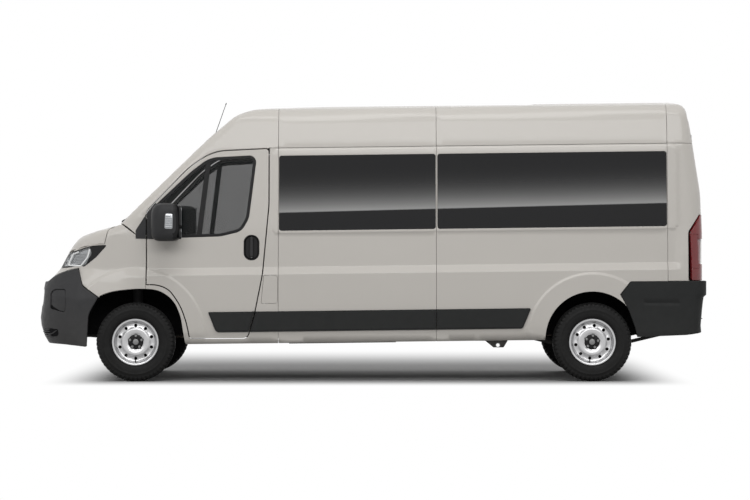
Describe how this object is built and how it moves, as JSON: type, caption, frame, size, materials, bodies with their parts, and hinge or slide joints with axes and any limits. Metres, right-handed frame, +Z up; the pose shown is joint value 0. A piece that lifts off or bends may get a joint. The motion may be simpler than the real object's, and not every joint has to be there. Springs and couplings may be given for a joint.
{
  "type": "window van",
  "caption": "Long, medium-high panel van with flush tinted side windows, steel wheels, hinged cab and rear doors, lifting bonnet, and front wheels that steer.",
  "frame": {"origin": "on the ground under the middle of the van, centred in length and width", "axes": "+Z up, -X towards the nose, -Y towards the left (driver) side"},
  "size_m": [5.9973, 2.5, 2.5082],
  "materials": {
    "paint": "light warm grey gloss paint",
    "tinted_glass": "dark tinted flush glass",
    "clear_glass": "lightly tinted clear glass",
    "grey_plastic": "grained dark grey plastic",
    "black_plastic": "black plastic",
    "lamp_clear": "clear lens over bright reflector",
    "lamp_red": "deep red lens with a clear insert",
    "tyre_rubber": "black rubber",
    "wheel_steel": "silver painted pressed steel",
    "cast_metal": "bare cast metal",
    "chassis_steel": "black underbody coating",
    "exhaust_steel": "dull exhaust steel",
    "dash_plastic": "soft grained charcoal plastic",
    "seat_cloth": "charcoal woven cloth"
  },
  "bodies": {
    "van_body": {"antenna": "black_plastic", "cab_frame": "paint", "chassis_rails": "chassis_steel", "cowl_panel": "black_plastic", "dashboard": "dash_plastic", "driver_seat": "seat_cloth", "engine": "cast_metal", "exhaust": "exhaust_steel", "floor_pan": "chassis_steel", "front_bumper": "grey_plastic", "front_panel": "paint", "front_suspension": "chassis_steel", "front_wings": "paint", "fuel_tank": "black_plastic", "grille": "black_plastic", "headlamps": "lamp_clear", "jack_brackets": "paint", "left_side_panel": "paint", "passenger_seat": "seat_cloth", "rear_axle": "cast_metal", "rear_bumper": "grey_plastic", "rear_springs": "chassis_steel", "right_side_panel": "paint", "roof_panels": "paint", "side_mouldings": "grey_plastic", "side_windows": "tinted_glass", "sliding_door": "paint", "tail_lamps": "lamp_red", "wheel_housings": "chassis_steel", "windscreen": "clear_glass", "wipers": "black_plastic"},
    "left_front_door_body": {"left_front_door": "paint", "left_door_glass": "clear_glass", "left_mirror": "black_plastic", "left_door_moulding": "grey_plastic"},
    "right_front_door_body": {"right_front_door": "paint", "right_door_glass": "clear_glass", "right_mirror": "black_plastic", "right_door_moulding": "grey_plastic"},
    "left_rear_door_body": {"left_rear_door": "paint", "left_rear_window": "tinted_glass"},
    "right_rear_door_body": {"right_rear_door": "paint", "right_rear_window": "tinted_glass"},
    "bonnet_body": {"bonnet": "paint"},
    "fuel_flap_body": {"fuel_flap": "paint"},
    "steering_wheel_body": {"steering_wheel": "dash_plastic"},
    "left_steer_body": {"front_left_knuckle": "cast_metal"},
    "right_steer_body": {"front_right_knuckle": "cast_metal"},
    "front_left_wheel": {"front_left_tyre": "tyre_rubber", "front_left_rim": "wheel_steel"},
    "front_right_wheel": {"front_right_tyre": "tyre_rubber", "front_right_rim": "wheel_steel"},
    "rear_left_wheel": {"rear_left_tyre": "tyre_rubber", "rear_left_rim": "wheel_steel"},
    "rear_right_wheel": {"rear_right_tyre": "tyre_rubber", "rear_right_rim": "wheel_steel"}
  },
  "joints": [
    {"name": "left_front_door_hinge", "type": "hinge", "parent": "van_body", "child": "left_front_door_body", "pos_m": [-1.956, -1.004, 0.9], "axis": [0, 0, -1], "range_deg": [0, 70]},
    {"name": "right_front_door_hinge", "type": "hinge", "parent": "van_body", "child": "right_front_door_body", "pos_m": [-1.956, 1.004, 0.9], "axis": [0, 0, 1], "range_deg": [0, 70]},
    {"name": "left_rear_door_hinge", "type": "hinge", "parent": "van_body", "child": "left_rear_door_body", "pos_m": [2.966, -0.79, 1.4], "axis": [0, 0, -1], "range_deg": [0, 96]},
    {"name": "right_rear_door_hinge", "type": "hinge", "parent": "van_body", "child": "right_rear_door_body", "pos_m": [2.966, 0.79, 1.4], "axis": [0, 0, 1], "range_deg": [0, 96]},
    {"name": "bonnet_hinge", "type": "hinge", "parent": "van_body", "child": "bonnet_body", "pos_m": [-2.296, 0, 1.352], "axis": [0, 1, 0], "range_deg": [0, 55]},
    {"name": "fuel_flap_hinge", "type": "hinge", "parent": "van_body", "child": "fuel_flap_body", "pos_m": [-0.797, -1.012, 0.81], "axis": [0, 0, 1], "range_deg": [0, 100]},
    {"name": "left_steer", "type": "hinge", "parent": "van_body", "child": "left_steer_body", "pos_m": [-2.051, -0.835, 0.348], "axis": [0, 0, 1], "range_deg": [-35, 35]},
    {"name": "right_steer", "type": "hinge", "parent": "van_body", "child": "right_steer_body", "pos_m": [-2.051, 0.835, 0.348], "axis": [0, 0, 1], "range_deg": [-35, 35]},
    {"name": "steering_wheel_turn", "type": "hinge", "parent": "van_body", "child": "steering_wheel_body", "pos_m": [-1.56, -0.43, 1.15], "axis": [0.848, 0, 0.5299], "range_deg": [-525, 525]},
    {"name": "front_left_wheel_spin", "type": "hinge", "parent": "left_steer_body", "child": "front_left_wheel", "pos_m": [-2.051, -0.905, 0.348], "axis": [0, 1, 0], "continuous": true},
    {"name": "front_right_wheel_spin", "type": "hinge", "parent": "right_steer_body", "child": "front_right_wheel", "pos_m": [-2.051, 0.905, 0.348], "axis": [0, 1, 0], "continuous": true},
    {"name": "rear_left_wheel_spin", "type": "hinge", "parent": "van_body", "child": "rear_left_wheel", "pos_m": [1.984, -0.895, 0.348], "axis": [0, 1, 0], "continuous": true},
    {"name": "rear_right_wheel_spin", "type": "hinge", "parent": "van_body", "child": "rear_right_wheel", "pos_m": [1.984, 0.895, 0.348], "axis": [0, 1, 0], "continuous": true}
  ],
  "couplings": [
    {"joint": "right_steer", "follows": "left_steer", "ratio": 1},
    {"joint": "steering_wheel_turn", "follows": "left_steer", "ratio": 15}
  ]
}
